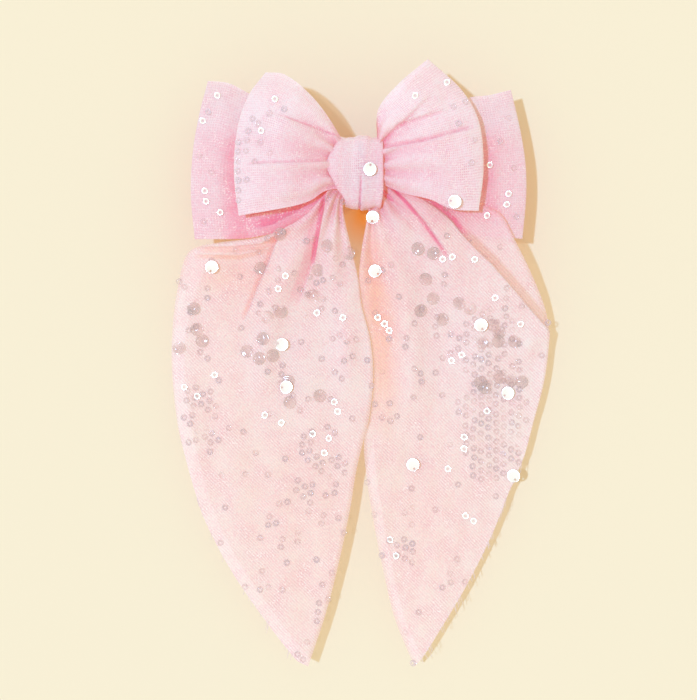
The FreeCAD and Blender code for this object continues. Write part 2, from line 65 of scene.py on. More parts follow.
def along(points, where):
    """Points on a smooth curve through the given ones, at shares 0 to 1 of its length."""
    points = np.array(points, float)
    steps = np.linalg.norm(np.diff(points, axis=0), axis=1)
    knots = np.concatenate([[0], np.cumsum(steps)]) / steps.sum()
    slopes = np.empty_like(points)
    slopes[1:-1] = (points[2:] - points[:-2]) / (knots[2:] - knots[:-2])[:, None]
    slopes[0] = (points[1] - points[0]) / (knots[1] - knots[0])
    slopes[-1] = (points[-1] - points[-2]) / (knots[-1] - knots[-2])
    where = np.clip(np.asarray(where, float), 0, 1)
    index = np.clip(np.searchsorted(knots, where, side="right") - 1, 0, len(points) - 2)
    span = (knots[index + 1] - knots[index])[..., None]
    t = ((where - knots[index])[..., None]) / span
    level = (2 * t ** 3 - 3 * t ** 2 + 1) * points[index] + (3 * t ** 2 - 2 * t ** 3) * points[index + 1]
    bent = (t ** 3 - 2 * t ** 2 + t) * slopes[index] + (t ** 3 - t ** 2) * slopes[index + 1]
    return level + span * bent


def patch(root, tip, low, high, u, v):
    """Front-view positions inside four edges: root and tip run over v, low and high run over u."""
    u, v = u[..., None], v[..., None]
    edges = (1 - u) * along(root, v[..., 0]) + u * along(tip, v[..., 0])
    sides = (1 - v) * along(low, u[..., 0]) + v * along(high, u[..., 0])
    corners = ((1 - u) * (1 - v) * np.array(root[0]) + (1 - u) * v * np.array(root[-1])
               + u * (1 - v) * np.array(tip[0]) + u * v * np.array(tip[-1]))
    return edges + sides - corners


def smooth(x):
    x = np.clip(x, 0, 1)
    return x * x * (3 - 2 * x)


def blunt(value, power):
    """A sine or cosine bent towards a rounded box."""
    return np.sign(value) * np.abs(value) ** power


def ripple(x, z, seed):
    """Gentle uneven wrinkles, from about -1 to 1."""
    total = np.zeros_like(x)
    for step in range(1, 5):
        turn = seed * 1.7 + step * 2.1
        waves = 0.045 * step ** 1.15
        across = x * math.cos(turn) + z * math.sin(turn)
        total += np.sin(across * waves * 2 * math.pi + seed * step) / step
    return total / 1.6


def beside(x, z, line, fade):
    """Signed distance from a line of points, positive on the left of its heading, and how much of the line
    is alongside: 1 between its ends, fading to 0 past them."""
    line = np.array(line, float)
    nearest = np.full(x.shape, 1e9)
    signed = np.zeros_like(x)
    inside = np.zeros_like(x)
    start = 0.0
    for first, second in zip(line[:-1], line[1:]):
        run = math.dist(first, second)
        way = (second - first) / run
        ahead = (x - first[0]) * way[0] + (z - first[1]) * way[1]
        across = way[0] * (z - first[1]) - way[1] * (x - first[0])
        far = np.hypot(across, ahead - np.clip(ahead, 0, run))
        closer = far < nearest
        nearest = np.where(closer, far, nearest)
        signed = np.where(closer, np.copysign(far, across), signed)
        inside = np.where(closer, start + ahead, inside)
        start += run
    return signed, smooth(inside / fade + 0.5) * smooth((start - inside) / fade + 0.5)


def crease(x, z, line, depth, reach, dark):
    """A folded edge: the cloth on the left of the line stands forward, as far out as reach, and the cloth on
    the right gets painted shade over the width called dark. Gives the lift and the painted shade."""
    signed, ends = beside(x, z, line, 8.0)
    rise = smooth(signed / 0.9 + 0.5)
    lift = depth * rise * np.exp(-(np.maximum(signed, 0) / reach) ** 2) * ends
    band = 0.35 * np.exp(-np.maximum(-signed, 0) / dark) + 0.65 * smooth((signed + dark) / 1.1 + 0.5)
    return lift, band * (1 - rise) * ends


def ridge(x, z, line, height, width):
    """A rounded fold standing forward along a line of points."""
    signed, ends = beside(x, z, line, 24.0)
    return height * np.exp(-(signed / width) ** 2) * ends


# ---------------------------------------------------------------- meshes

def mesh_piece(name, verts, faces):
    """A smooth-shaded object in the scene from vertices in metres."""
    mesh = bpy.data.meshes.new(name)
    mesh.from_pydata(verts, [], faces)
    mesh.polygons.foreach_set("use_smooth", [True] * len(mesh.polygons))
    piece = bpy.data.objects.new(name, mesh)
    bpy.context.collection.objects.link(piece)
    return piece


def quads(grid):
    """The four corners of every cell of a grid of numbers."""
    return np.stack([grid[:-1, :-1], grid[1:, :-1], grid[1:, 1:], grid[:-1, 1:]], axis=-1)


def grid_mesh(name, x, y, z, cloth_u, cloth_v, tone, closed=False):
    """A mesh from a grid of positions in mm, with its place on the flat cloth. Tone is the painted shade of
    each point's folds and creases, with the pink of gathered cloth, the painted shade tint it takes from the
    parts round it, and how thin the cloth is there."""
    rows, cols = x.shape
    verts = np.stack([x, y, z], axis=-1).reshape(-1, 3) * MM
    index = np.arange(rows * cols).reshape(rows, cols)
    if closed:
        index = np.vstack([index, index[:1]])
    faces = quads(index).reshape(-1, 4)
    piece = mesh_piece(name, verts.tolist(), faces.tolist())
    mesh = piece.data
    attribute = mesh.attributes.new("tone", "FLOAT_VECTOR", "POINT")
    levels = np.stack([np.clip(level, 0, 1) + np.zeros_like(x) for level in tone], axis=-1)
    attribute.data.foreach_set("vector", levels.reshape(-1).astype(np.float32))
    layer = mesh.uv_layers.new(name="cloth")
    flat = np.stack([cloth_u, cloth_v], axis=-1).reshape(-1, 2) * MM
    if closed:
        row = np.arange(rows + 1)[:, None] + np.zeros(cols, int)
        step = cloth_u[1, 0] - cloth_u[0, 0]
        around = quads(row).reshape(-1) * step * MM
        side = flat[faces.reshape(-1), 1]
        layer.data.foreach_set("uv", np.stack([around, side], axis=-1).reshape(-1))
    else:
        layer.data.foreach_set("uv", flat[faces.reshape(-1)].reshape(-1))
    mesh.update()
    return piece


class Surface:
    """The front-view positions, depths and normals of a cloth's front, to sew sequins on."""

    def __init__(self, x, y, z):
        self.x, self.y, self.z = x, y, z
        along_u = np.stack([np.gradient(item, axis=0) for item in (x, y, z)], axis=-1)
        along_v = np.stack([np.gradient(item, axis=1) for item in (x, y, z)], axis=-1)
        normal = np.cross(along_u, along_v)
        normal /= np.maximum(np.linalg.norm(normal, axis=-1, keepdims=True), 1e-9)
        self.normal = np.where(normal[..., 1:2] > 0, -normal, normal)

    def nearest(self, x, z):
        """The spot nearest to a front-view point, and how far off it is."""
        far = np.hypot(self.x - x, self.z - z)
        at = np.unravel_index(np.argmin(far), far.shape)
        return Vector((self.x[at], self.y[at], self.z[at])), Vector(self.normal[at]), far[at]


# ---------------------------------------------------------------- materials

def new_material(name, colour, roughness):
    material = bpy.data.materials.new(name)
    material.use_nodes = True
    shader = material.node_tree.nodes["Principled BSDF"]
    shader.inputs["Base Color"].default_value = (*colour, 1)
    shader.inputs["Roughness"].default_value = roughness
    return material, material.node_tree, shader


def add_node(tree, kind, **values):
    node = tree.nodes.new(kind)
    for key, value in values.items():
        if hasattr(node, key):
            setattr(node, key, value)
        else:
            node.inputs[key].default_value = value
    return node


def math_node(tree, operation, first, second=None):
    node = tree.nodes.new("ShaderNodeMath")
    node.operation = operation
    for socket, value in zip(node.inputs, (first, second)):
        if value is None:
            continue
        if isinstance(value, bpy.types.NodeSocket):
            tree.links.new(value, socket)
        else:
            socket.default_value = value
    return node.outputs[0]


def noise(tree, scale, detail):
    """Noise on the object's own coordinates, so its size is real: 1000 gives millimetre grains."""
    place = tree.nodes.new("ShaderNodeTexCoord")
    texture = add_node(tree, "ShaderNodeTexNoise", Scale=scale, Detail=detail)
    tree.links.new(place.outputs["Object"], texture.inputs["Vector"])
    return texture.outputs[0]


def mix_colours(tree, share, first, second):
    node = tree.nodes.new("ShaderNodeMix")
    node.data_type = "RGBA"
    for socket, value in zip((node.inputs[0], node.inputs[6], node.inputs[7]), (share, first, second)):
        if isinstance(value, bpy.types.NodeSocket):
            tree.links.new(value, socket)
        elif isinstance(value, float):
            socket.default_value = value
        else:
            socket.default_value = (*value, 1)
    return node.outputs[2]


def mix_shaders(tree, share, first, second):
    node = tree.nodes.new("ShaderNodeMixShader")
    if isinstance(share, float):
        node.inputs[0].default_value = share
    else:
        tree.links.new(share, node.inputs[0])
    tree.links.new(first, node.inputs[1])
    tree.links.new(second, node.inputs[2])
    return node.outputs[0]


def scaled(tree, value, by, plus):
    """The value times by, plus plus."""
    node = math_node(tree, "MULTIPLY_ADD", value, by)
    node.node.inputs[2].default_value = plus
    return node


def thread_pattern(tree, pitch, slant, cross):
    """Warp and weft threads on the cloth's own coordinates: 1 on a thread, 0 in a hole."""
    cloth = add_node(tree, "ShaderNodeUVMap", uv_map="cloth")
    turned = tree.nodes.new("ShaderNodeMapping")
    turned.inputs["Rotation"].default_value = (0, 0, slant)
    tree.links.new(cloth.outputs[0], turned.inputs[0])
    split = tree.nodes.new("ShaderNodeSeparateXYZ")
    tree.links.new(turned.outputs[0], split.inputs[0])
    shift = math_node(tree, "MULTIPLY", noise(tree, 150.0, 1.0), 7.0)
    threads = []
    for output in split.outputs[:2]:
        turns = math_node(tree, "MULTIPLY", output, 2 * math.pi / pitch)
        wave = math_node(tree, "SINE", math_node(tree, "ADD", turns, shift))
        threads.append(scaled(tree, wave, 0.5, 0.5))
    return math_node(tree, "MAXIMUM", scaled(tree, threads[0], cross, 0.0), threads[1])


def woven_colour(tree, weave, shade_and_gather, share, light, fold_shade_colour, shade_tint, texture):
    """The cloth's colour: light where it is flat, the painted fold shade colour in its folds and creases,
    and the painted shade tint where it lies in shadow. It has uneven patches, darker holes between the
    threads and small painted glints."""
    uneven = math_node(tree, "ADD", scaled(tree, noise(tree, 110.0, 3.0), 0.35, -0.12),
                       scaled(tree, noise(tree, 1300.0, 1.0), 0.7, -0.32))
    # Painted shade: the tone's first level turns the cloth towards the pink fold shade colour in folds and
    # creases.
    pink = math_node(tree, "MAXIMUM", math_node(tree, "ADD", shade_and_gather, uneven), 0.0)
    # Painted shade: the tone's second level turns it towards the shade tint.
    tinted = mix_colours(tree, share, light, shade_tint)
    cloth = mix_colours(tree, math_node(tree, "MINIMUM", pink, 1.0), tinted, fold_shade_colour)
    contrast = scaled(tree, noise(tree, 130.0, 3.0), 3.4 * texture, -1.4 * texture)
    hole = math_node(tree, "MULTIPLY", scaled(tree, weave, -1.0, 1.0), contrast)
    shadow = tuple(0.45 * first + 0.5 * second for first, second in zip(light, fold_shade_colour))
    woven = mix_colours(tree, hole, cloth, shadow)
    # Painted glints: small white specks mixed into the cloth's colour.
    bright = math_node(tree, "MAXIMUM", scaled(tree, noise(tree, 1600.0, 0.0), 7.0, -4.0), 0.0)
    glints = math_node(tree, "MINIMUM", math_node(tree, "MULTIPLY", bright, contrast), 0.8)
    return mix_colours(tree, glints, woven, (0.98, 0.97, 1.0))


def sheer_mesh(name, light, fold_shade_colour, shade_tint, opacity, pitch, slant, cross, texture):
    """Sheer woven mesh: lit threads, light coming through, and a pink tint to what is seen behind."""
    material, tree, shader = new_material(name, light, 0.62)
    weave = thread_pattern(tree, pitch, slant, cross)
    tone = add_node(tree, "ShaderNodeAttribute", attribute_name="tone")
    levels = tree.nodes.new("ShaderNodeSeparateXYZ")
    tree.links.new(tone.outputs["Vector"], levels.inputs[0])
    # The tone holds the painted fold shade, the share of painted shade tint and the thinness of the cloth.
    shade_and_gather, share, thin = levels.outputs
    colour = woven_colour(tree, weave, shade_and_gather, share, light, fold_shade_colour, shade_tint, texture)
    tree.links.new(colour, shader.inputs["Base Color"])
    shader.inputs["Sheen Weight"].default_value = 0.3
    shader.inputs["Sheen Roughness"].default_value = 0.4
    shader.inputs["Specular IOR Level"].default_value = 0.35
    bump = add_node(tree, "ShaderNodeBump", Strength=0.3, Distance=0.0002)
    tree.links.new(weave, bump.inputs["Height"])
    tree.links.new(bump.outputs[0], shader.inputs["Normal"])
    through = add_node(tree, "ShaderNodeBsdfTranslucent")
    tree.links.new(mix_colours(tree, 0.25, colour, (0.90, 0.45, 0.42)), through.inputs["Color"])
    lit = mix_shaders(tree, 0.18, shader.outputs[0], through.outputs[0])
    direct = tree.nodes.new("ShaderNodeLightPath").outputs["Is Camera Ray"]
    dense = math_node(tree, "MINIMUM", scaled(tree, shade_and_gather, 3.0, 0.0), 1.0)
    passing = mix_colours(tree, dense, (1.0, 0.72, 0.52), (1.0, 0.46, 0.17))
    clear = tree.nodes.new("ShaderNodeBsdfTransparent")
    tree.links.new(mix_colours(tree, direct, passing, (0.985, 0.88, 0.89)), clear.inputs["Color"])
    edge = add_node(tree, "ShaderNodeLayerWeight", Blend=0.5)
    facing = math_node(tree, "MULTIPLY", edge.outputs["Facing"], 0.5)
    threads = scaled(tree, weave, 0.1, opacity - 0.07)
    solid = math_node(tree, "SUBTRACT", threads, scaled(tree, thin, 0.4, 0.0))
    solid = math_node(tree, "MINIMUM", math_node(tree, "ADD", solid, facing), 1.0)
    cover = tree.nodes.new("ShaderNodeMix")
    tree.links.new(direct, cover.inputs[0])
    tree.links.new(scaled(tree, dense, -0.3, 0.62), cover.inputs[2])
    tree.links.new(solid, cover.inputs[3])
    sheer = mix_shaders(tree, cover.outputs[0], clear.outputs[0], lit)
    tree.links.new(sheer, tree.nodes["Material Output"].inputs["Surface"])
    return material


def sequin_material(name, colour, alpha, roughness, metallic):
    """Clear film with a faint change of colour and fine scratches."""
    material, tree, shader = new_material(name, colour, roughness)
    tint = noise(tree, 140.0, 1.0)
    red, green, blue = colour
    ramp = tree.nodes.new("ShaderNodeValToRGB")
    ramp.color_ramp.elements[0].position = 0.35
    ramp.color_ramp.elements[0].color = (red, green, blue, 1)
    ramp.color_ramp.elements[1].position = 0.65
    ramp.color_ramp.elements[1].color = (red * 0.94, min(1, green * 1.2), min(1, blue * 1.25), 1)
    tree.links.new(tint, ramp.inputs[0])
    tree.links.new(ramp.outputs[0], shader.inputs["Base Color"])
    bump = add_node(tree, "ShaderNodeBump", Strength=0.05, Distance=0.0001)
    tree.links.new(noise(tree, 2400.0, 2.0), bump.inputs["Height"])
    tree.links.new(bump.outputs[0], shader.inputs["Normal"])
    if alpha < 1:
        tree.links.new(scaled(tree, tint, 0.9, alpha - 0.45), shader.inputs["Alpha"])
    shader.inputs["Metallic"].default_value = metallic
    shader.inputs["Coat Weight"].default_value = 0.6
    shader.inputs["Coat Roughness"].default_value = 0.05
    return material


def steel_material(name, colour, roughness, scale):
    """Nickel-plated steel with a brushed grain, worn darker in patches."""
    material, tree, shader = new_material(name, colour, roughness)
    shader.inputs["Metallic"].default_value = 1.0
    place = tree.nodes.new("ShaderNodeTexCoord")
    stretch = add_node(tree, "ShaderNodeMapping")
    stretch.inputs["Scale"].default_value = scale
    grain = add_node(tree, "ShaderNodeTexNoise", Scale=1.0, Detail=4.0)
    tree.links.new(place.outputs["Object"], stretch.inputs[0])
    tree.links.new(stretch.outputs[0], grain.inputs["Vector"])
    tree.links.new(scaled(tree, grain.outputs[0], 0.3, roughness - 0.12), shader.inputs["Roughness"])
    dark = tuple(0.62 * part for part in colour)
    worn = math_node(tree, "MULTIPLY", math_node(tree, "POWER", noise(tree, 180.0, 5.0), 3.0), 1.6)
    tree.links.new(mix_colours(tree, worn, colour, dark), shader.inputs["Base Color"])
    bump = add_node(tree, "ShaderNodeBump", Strength=0.15, Distance=0.00005)
    tree.links.new(grain.outputs[0], bump.inputs["Height"])
    tree.links.new(bump.outputs[0], shader.inputs["Normal"])
    return material


def fibre_material(name, colour, scale, strength):
    """Felt or thread: short tangled fibres in two close shades."""
    material, tree, shader = new_material(name, colour, 0.9)
    place = tree.nodes.new("ShaderNodeTexCoord")
    fibres = add_node(tree, "ShaderNodeTexNoise", Scale=scale, Detail=6.0, Roughness=0.75)
    fibres.inputs["Distortion"].default_value = 1.5
    tree.links.new(place.outputs["Object"], fibres.inputs["Vector"])
    dark = tuple(0.72 * part for part in colour)
    tree.links.new(mix_colours(tree, fibres.outputs[0], dark, colour), shader.inputs["Base Color"])
    bump = add_node(tree, "ShaderNodeBump", Strength=strength, Distance=0.0003)
    tree.links.new(fibres.outputs[0], bump.inputs["Height"])
    tree.links.new(bump.outputs[0], shader.inputs["Normal"])
    shader.inputs["Sheen Weight"].default_value = 0.5
    return material


LOOP_CLOTH = sheer_mesh(
    "loop_mesh", light=(0.90, 0.89, 0.97), fold_shade_colour=(0.85, 0.26, 0.46), shade_tint=(0.73, 0.62, 0.69),
    opacity=0.8, pitch=0.00105, slant=0.0, cross=0.9, texture=1.0)
TAIL_CLOTH = sheer_mesh(
    "tail_mesh", light=(0.86, 0.87, 0.93), fold_shade_colour=(0.84, 0.24, 0.43), shade_tint=(0.95, 0.64, 0.46),
    opacity=0.78, pitch=0.00102, slant=math.pi / 4, cross=0.25, texture=0.75)
CLEAR_RING = sequin_material("clear_ring", (0.68, 0.46, 0.50), 0.21, 0.12, 0.0)
PALE_RING = sequin_material("pale_ring", (0.80, 0.60, 0.66), 0.23, 0.12, 0.0)
CLEAR_DISC = sequin_material("clear_disc", (0.64, 0.42, 0.41), 0.22, 0.1, 0.0)
# White sequins whose white is a painted glint standing for clear sequins catching the key light; they are
# also turned to face it.
PAINTED_GLINT_SEQUIN = sequin_material("painted_glint_sequin", (0.97, 0.96, 0.98), 1.0, 0.16, 0.35)
THREAD = fibre_material("thread", (0.86, 0.52, 0.62), 2600.0, 0.8)
FRAY = fibre_material("fray", (0.95, 0.80, 0.84), 2600.0, 0.5)
FELT = fibre_material("felt", (0.87, 0.50, 0.60), 900.0, 1.0)
NICKEL = steel_material("nickel_steel", (0.66, 0.65, 0.63), 0.3, (60.0, 900.0, 900.0))
SPRING = steel_material("spring_steel", (0.45, 0.45, 0.46), 0.36, (60.0, 1200.0, 1200.0))


def finish_piece(piece, material, body="bow"):
    """Give a piece its one material and the body it moves with."""
    piece.data.materials.clear()
    piece.data.materials.append(material)
    if body:
        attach(piece, body)


# ---------------------------------------------------------------- loops

# Each loop has four edges in the front view, creases, the depth of its waist and middle, a bulge and pleats.
# A crease is a line with its height, the width of its painted shade and how pink that painted shade is.
LOOPS = {
    "front_left_loop": dict(
        root=[(-7, -6), (-7, 13.5)], tip=[(-50, -17.5), (-52, 0), (-50.5, 19), (-46, 32), (-39, 41.5)],
        low=[(-7, -6), (-14, -7), (-21, -11.5), (-31, -14.5), (-50, -17.5)],
        high=[(-7, 13.5), (-14, 24.5), (-22, 33.5), (-31, 40.3), (-39, 41.5)],
        creases=[([(-13, 4.8), (-28, 3.6), (-45, 3.2)], 1.7, 1.4, 0.35),
                 ([(-9.5, 15.2), (-33, 23)], 1.3, 0.8, 0.6)],
        seed=1, waist=-21.35, middle=-25.0, bulge=6.2, pleats=4.0),
    "front_right_loop": dict(
        root=[(7, -3), (7, 14.5)], tip=[(48.8, -15.5), (50.8, 2), (49, 21), (42, 34), (28, 47)],
        low=[(7, -3), (16.7, -7.7), (28.5, -11), (38, -15), (48.8, -15.5)],
        high=[(7, 14.5), (7.4, 26), (15.5, 36), (28, 47)],
        creases=[([(46, 18), (27, 12.6), (9, 10)], 1.7, 1.8, 0.45),
                 ([(9, 13.5), (15.5, 20), (34, 25.6)], 1.3, 1.2, 0.45),
                 ([(15, 18.5), (27.5, 30.5)], 0.9, 1.0, 0.4)],
        seed=2, waist=-21.35, middle=-25.0, bulge=6.2, pleats=4.3),
    "back_left_loop": dict(
        root=[(-7, -8), (-7, 13)], tip=[(-69, -26.5), (-70.6, -8), (-69.8, 10), (-67, 26), (-63.5, 39.5)],
        low=[(-7, -8), (-25, -20.5), (-45, -26), (-69, -26.5)],
        high=[(-7, 13), (-25, 25), (-44, 33), (-55, 38.5), (-63.5, 39.5)],
        creases=[([(-17, -8.5), (-27, -15.5), (-36, -20.5), (-44, -22.5)], 1.6, 3.0, 0.42),
                 ([(-16, -7), (-30, -13), (-46, -17)], 1.0, 1.2, 0.4)],
        seed=3, waist=-17.35, middle=-13.6, bulge=4.2, pleats=4.6),
    "back_right_loop": dict(
        root=[(7, -8), (7, 13)], tip=[(67.8, -26.3), (69.4, -8), (69, 6), (66.5, 21), (63, 35.8)],
        low=[(7, -8), (28, -18.5), (48, -25), (67.8, -26.3)],
        high=[(7, 13), (25, 23), (44.5, 32), (54, 33.5), (63, 35.8)],
        creases=[([(44, -21), (20, -14)], 1.0, 2.0, 0.55)],
        seed=4, waist=-17.35, middle=-13.6, bulge=4.2, pleats=4.4),
}


def build_loop(name, shape):
    """A strip that runs out from the knot, folds over at its outer end and runs back behind itself."""
    rows, cols = 260, 110
    turn = np.linspace(-1, 1, rows)[:, None] + np.zeros(cols)
    v = np.linspace(0, 1, cols)[None, :] + np.zeros((rows, 1))
    sharp = 0.14
    u = 1 - (np.sqrt(turn ** 2 + sharp ** 2) - sharp) / (math.sqrt(1 + sharp ** 2) - sharp)
    spot = patch(shape["root"], shape["tip"], shape["low"], shape["high"], u, v)
    x, z = spot[..., 0], spot[..., 1]
    rear = turn > 0
    z = z + np.where(rear, 1.5 * np.sin(math.pi * u) * (0.5 - v), 0)
    open_part = smooth(u / 0.62)
    close = np.sqrt(np.clip(1 - (np.maximum(u - 0.72, 0) / 0.28) ** 2.5, 0, 1))
    pressed = 1 - 0.55 * smooth((u - 0.5) / 0.5)
    half = (1.6 + (shape["bulge"] - 1.6) * open_part * pressed) * close
    squash = 1 - 0.28 * np.abs(2 * v - 1) ** 3
    centre = shape["waist"] + (shape["middle"] - shape["waist"]) * smooth(u / 0.7)
    gather = (1 - u) ** 1.3
    wave = blunt(np.sin(2 * math.pi * (shape["pleats"] * v + 0.13 * shape["seed"] + 0.15 * u)), 0.8)
    pleat = (1.3 * gather + 0.15) * wave * smooth(u / 0.12)
    side = np.where(rear, 1.0, -1.0)
    y = centre + side * half * squash
    y = y + pleat * close * np.where(rear, 0.7, 1.0) + 0.45 * ripple(x, z, shape["seed"]) * close
    # Painted shade: pinker near the knot where the cloth is gathered, in the pleat valleys and in each
    # crease's shade, and lighter towards the top.
    shade_and_gather = 0.3 * gather ** 2.5 + 0.22 * gather * smooth(0.5 + 0.5 * wave) - 0.2 * smooth((z - 12) / 20)
    for line, depth, dark, pink in shape["creases"]:
        lift, shade = crease(x, z, line, depth, 13.0, dark)
        y = y - np.where(rear, 0, lift)
        shade_and_gather = shade_and_gather + np.where(rear, 0.2, 1.0) * pink * shade
    # Painted shade on the back loops, where the front loops shade them: the shade tint, and more pink within
    # 60 mm of the middle and low down.
    shaded = 0.0
    if name.startswith("back"):
        shaded = 0.35
        shade_and_gather = shade_and_gather + 0.1 + 0.4 * smooth((60 - np.abs(x)) / 8) * smooth((24 - z) / 16)
    thin = 0.35 * smooth((z - 22) / 18)
    piece = grid_mesh(name, x, y, z, turn * 62, v * 66, (shade_and_gather, shaded, thin))
    finish_piece(piece, LOOP_CLOTH)
    front = slice(0, rows // 2)
    return piece, Surface(x[front], y[front], z[front])


# ---------------------------------------------------------------- tails

# The two tails hang with their inner edges together along this line.
MEETING = [(-0.6, -43), (0.9, -54), (4.6, -68.5), (5.8, -85), (4.0, -102), (1.6, -111)]


def beside_meeting(gap):
    return [(x + gap, z) for x, z in MEETING]


# Each tail has four edges in the front view. A crease is a line with its height, its reach, the width of its
# painted shade, and how pink, warm and sheer that painted shade is. A ridge is a line with a height and a
# width. A warm shade spot is a patch of painted warm shade: a middle, two half widths and a strength.
TAILS = {
    "left_tail": dict(
        root=[(-6.5, -9), (-9, -3)],
        low=[(-6.5, -9), (-7, -15), (-3.5, -31)] + beside_meeting(-0.15)
            + [(-1.6, -124), (-4.2, -140), (-8.6, -161), (-13.9, -182), (-21.8, -206)],
        high=[(-9, -3), (-14, -7.5), (-24, -18), (-40, -25.5), (-60, -28.5), (-71, -32), (-76, -46),
              (-79, -66), (-79, -85), (-76.4, -106), (-71.4, -126)],
        tip=[(-21.8, -206), (-27, -203), (-46, -178), (-57, -161), (-65.5, -144), (-71.4, -126)],
        creases=[([(-13.8, -7), (-14.8, -13), (-16.8, -25), (-18.8, -36)], 2.6, 14, 1.7, 1.0, 0.1, 0.0),
                 ([(-16.5, -22), (-19.5, -36), (-25, -52)], 1.0, 12, 4.5, 0.3, 0.05, 0.0),
                 ([(-16, -7), (-21.5, -12), (-33, -24), (-38, -36), (-48, -59)],
                  2.2, 14, 1.8, 0.25, 0.45, 0.2),
                 ([(-66, -30.0), (-52, -29.8), (-41, -28.8), (-29, -22)], 1.2, 5, 2.4, 0.15, 0.5, 0.3),
                 ([(-68, -33), (-50, -33.5), (-39, -31)], 0.6, 4, 1.6, 0.1, 0.45, 0.2)],
        ridges=[([(-9, -10), (-11, -30), (-6, -56), (-5, -84)], 3.0, 5.0),
                ([(-14, -9), (-28, -34), (-37, -58), (-42, -88)], 3.0, 5.5)],
        warm_shade=[(-52, -42, 16, 7, 0.3), (-60, -75, 18, 40, 0.13), (-20, -150, 40, 60, 0.12)],
        folds=3.4, first=0.1, seed=5),
    "right_tail": dict(
        root=[(4, -10), (8, -1)],
        low=[(4, -10), (3.3, -16), (0.6, -31)] + beside_meeting(0.15)
            + [(2.9, -127), (6.3, -148), (10.6, -169), (14.8, -186), (23, -206)],
        high=[(8, -1), (20, -8.5), (38, -12.5), (50, -12.5), (58, -16), (64, -27), (70.5, -39), (78, -56),
              (79.7, -68), (77.8, -85), (73.5, -102), (69.5, -117)],
        tip=[(23, -206), (27.5, -200.5), (44, -173.5), (55, -152), (62.5, -133.5), (69.5, -117)],
        creases=[([(81, -66), (66, -49.5), (54.6, -37), (48, -31), (43.2, -26)],
                  4.2, 16, 3.6, 0.06, 0.18, 0.9),
                 ([(43.2, -26), (38, -19.5), (32, -14.5), (25.8, -10.5), (20, -8)],
                  3.0, 14, 2.2, 1.0, 0.0, 0.0),
                 ([(12, -3), (16, -7.5), (27, -20.5), (36, -33)], 2.2, 12, 1.2, 1.0, 0.0, 0.0)],
        ridges=[([(11, -12), (16, -40), (21, -70), (23, -98)], 3.0, 6.0),
                ([(20, -8), (36, -34), (48, -58), (54, -85)], 3.0, 7.0)],
        warm_shade=[(4.5, -38, 6, 16, 0.7), (8.5, -63, 7, 18, 0.7), (9, -88, 7, 18, 0.4),
              (22, -150, 24, 60, 0.12)],
        folds=3.7, first=0.2, seed=6),
}


def build_tail(name, shape):
    """Half of the tail strip, gathered in the knot and cut off on the slant at its end."""
    rows, cols = 330, 160
    u = np.linspace(0, 1, rows)[:, None] + np.zeros(cols)
    v = np.linspace(0, 1, cols)[None, :] + np.zeros((rows, 1))
    spot = patch(shape["root"], shape["tip"], shape["low"], shape["high"], u, v)
    x, z = spot[..., 0], spot[..., 1]
    front_y = -19.2
    y = front_y + (TAIL_Y - front_y) * smooth((-24 - z) / 46)
    strength = 1.1 * smooth(u / 0.06) * (1 - smooth(u / 0.4)) + 0.15
    drift = 0.9 * np.sin(3 * u + shape["seed"])
    wave = np.cos(2 * math.pi * (v * shape["folds"] - shape["first"]) + drift)
    y = y - strength * wave + 0.8 * ripple(x * 0.6, z * 0.45, shape["seed"])
    # Painted shade: pinker near the knot and in the pleat valleys by the root; painted warm shade growing
    # towards the tip, where the shadowed backdrop shows through.
    shade_and_gather = 0.2 * (1 - smooth((-12 - z) / 14)) + 0.07 * (1 - smooth((-30 - z) / 50))
    shade_and_gather = shade_and_gather + 0.1 * (1 - u) ** 3 * (wave < 0)
    warm_shade = 0.07 + 0.1 * smooth((-70 - z) / 60)
    thin = 0.8 * (1 - smooth(np.minimum(v, 1 - v) * 45))
    for line, depth, reach, dark, pink, peach, sheer in shape["creases"]:
        lift, shade = crease(x, z, line, depth, reach, dark)
        y = y - lift
        shade_and_gather = shade_and_gather + pink * shade
        warm_shade = warm_shade + peach * shade
        thin = thin + sheer * shade
    for line, height, width in shape["ridges"]:
        y = y - ridge(x, z, line, height, width)
    # Painted warm shade in patches, with a touch of painted pink shade.
    for middle_x, middle_z, wide, high, warmth in shape["warm_shade"]:
        spread = np.exp(-((x - middle_x) / wide) ** 2 - ((z - middle_z) / high) ** 2)
        warm_shade = warm_shade + warmth * spread
        shade_and_gather = shade_and_gather + 0.14 * warmth * spread
    piece = grid_mesh(name + "_cloth", x, y, z, -z, -x, (shade_and_gather, warm_shade, thin))
    finish_piece(piece, TAIL_CLOTH, None)
    return piece, Surface(x, y, z)


def bend_with(piece):
    """Bake the piece's placement into its vertices."""
    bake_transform(piece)


# ---------------------------------------------------------------- knot

